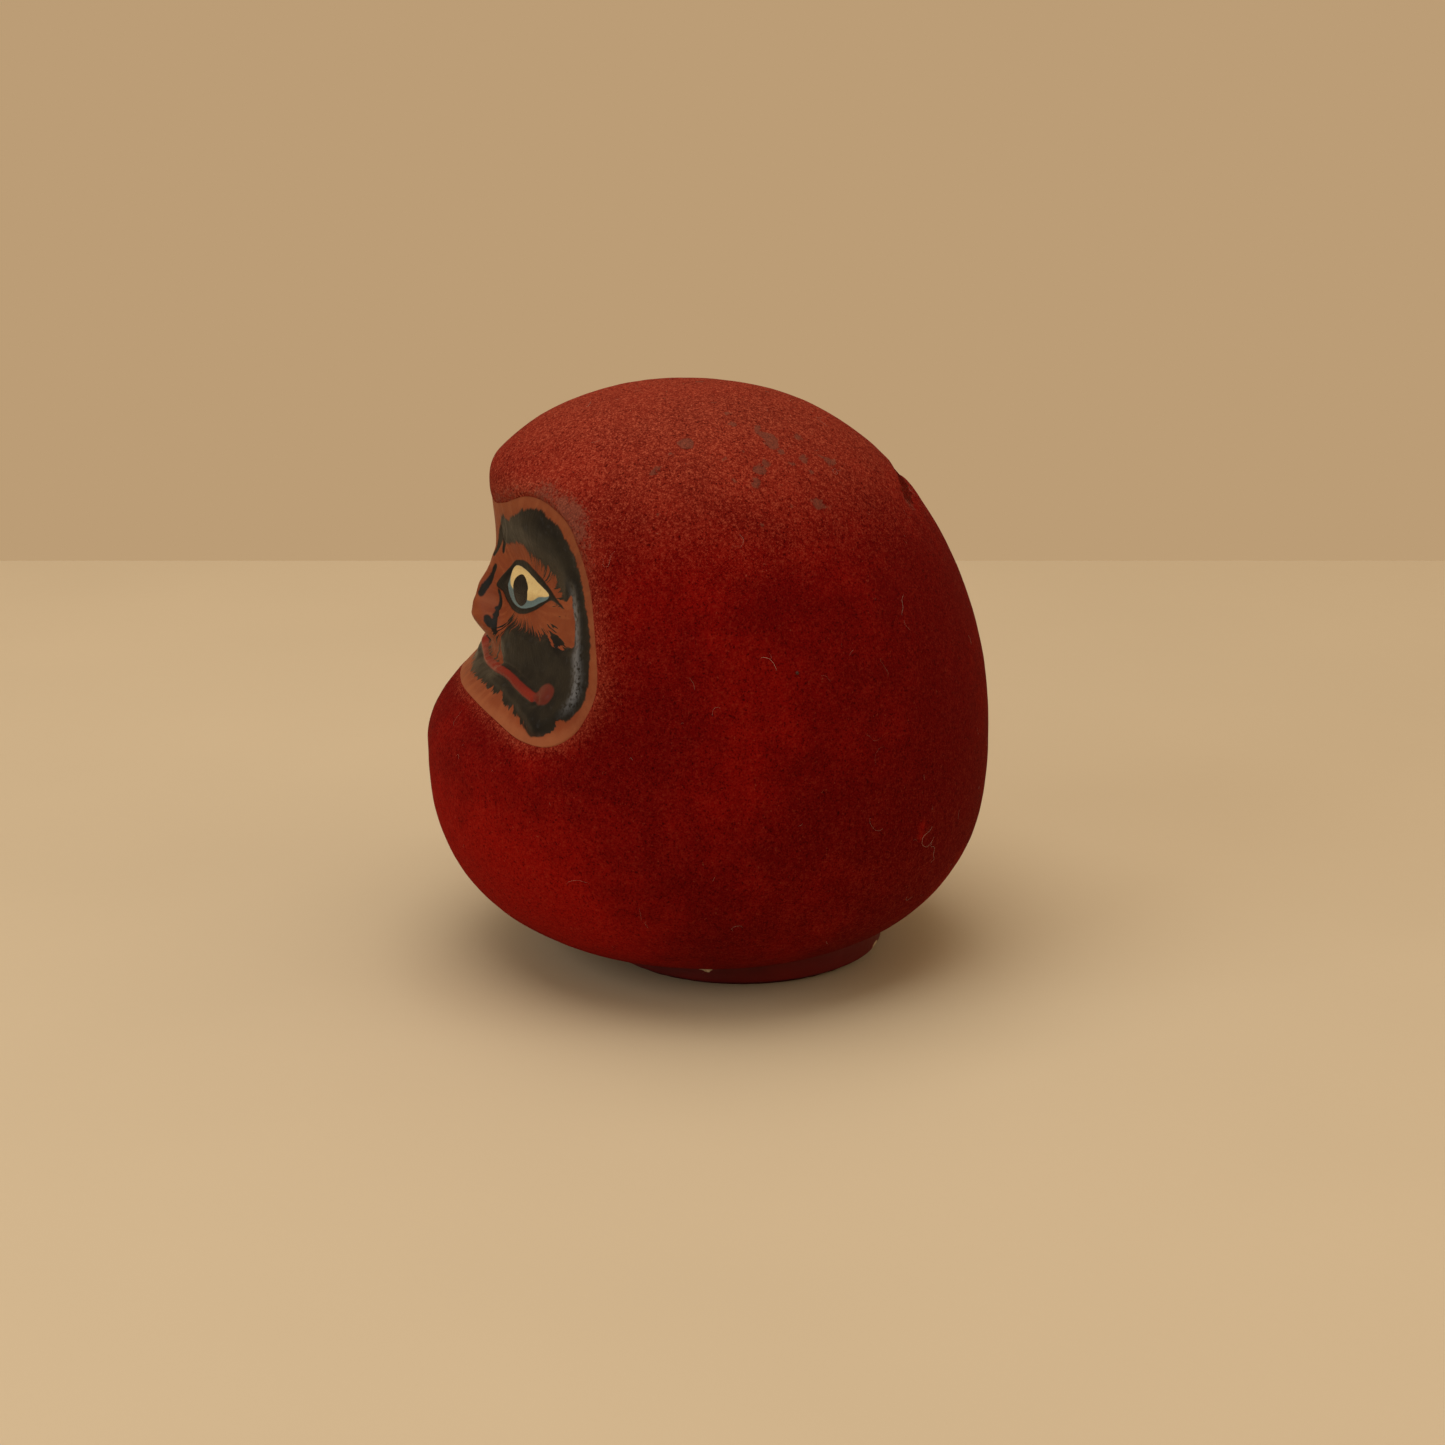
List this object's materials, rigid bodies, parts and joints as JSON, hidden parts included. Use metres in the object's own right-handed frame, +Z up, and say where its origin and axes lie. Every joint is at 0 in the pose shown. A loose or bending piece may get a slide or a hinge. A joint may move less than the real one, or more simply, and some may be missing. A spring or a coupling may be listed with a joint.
{
  "type": "daruma coin bank",
  "caption": "Hollow flocked daruma doll with a recessed painted face, a coin slot across the nape and a weighted foot with a pull-out stopper.",
  "frame": {"origin": "middle of the outline, on the surface that the doll stands on", "axes": "+Z up, the face looks along -Y, +X to the doll's left hand side"},
  "size_m": [0.1044, 0.1058, 0.108],
  "materials": {
    "pulp": "bare moulded paper pulp",
    "pasted_paper": "aged paper",
    "red_flock": "short upright flock, dusty and worn at the crown",
    "face_paint": "painted and varnished gesso",
    "painted_clay": "satin dark red paint over clay",
    "stopper_rubber": "matt moulded rubber"
  },
  "bodies": {
    "doll": {"front_shell": "pulp", "rear_shell": "pulp", "seam_tape": "pasted_paper", "flock_coat": "red_flock", "face_relief": "face_paint", "base_weight": "painted_clay", "base_paper": "pasted_paper"},
    "stopper": {"stopper": "stopper_rubber"}
  },
  "joints": [
    {"name": "stopper_pull", "type": "slide", "parent": "doll", "child": "stopper", "axis": [0, 0, -1], "range_m": [0, 0.02]}
  ]
}
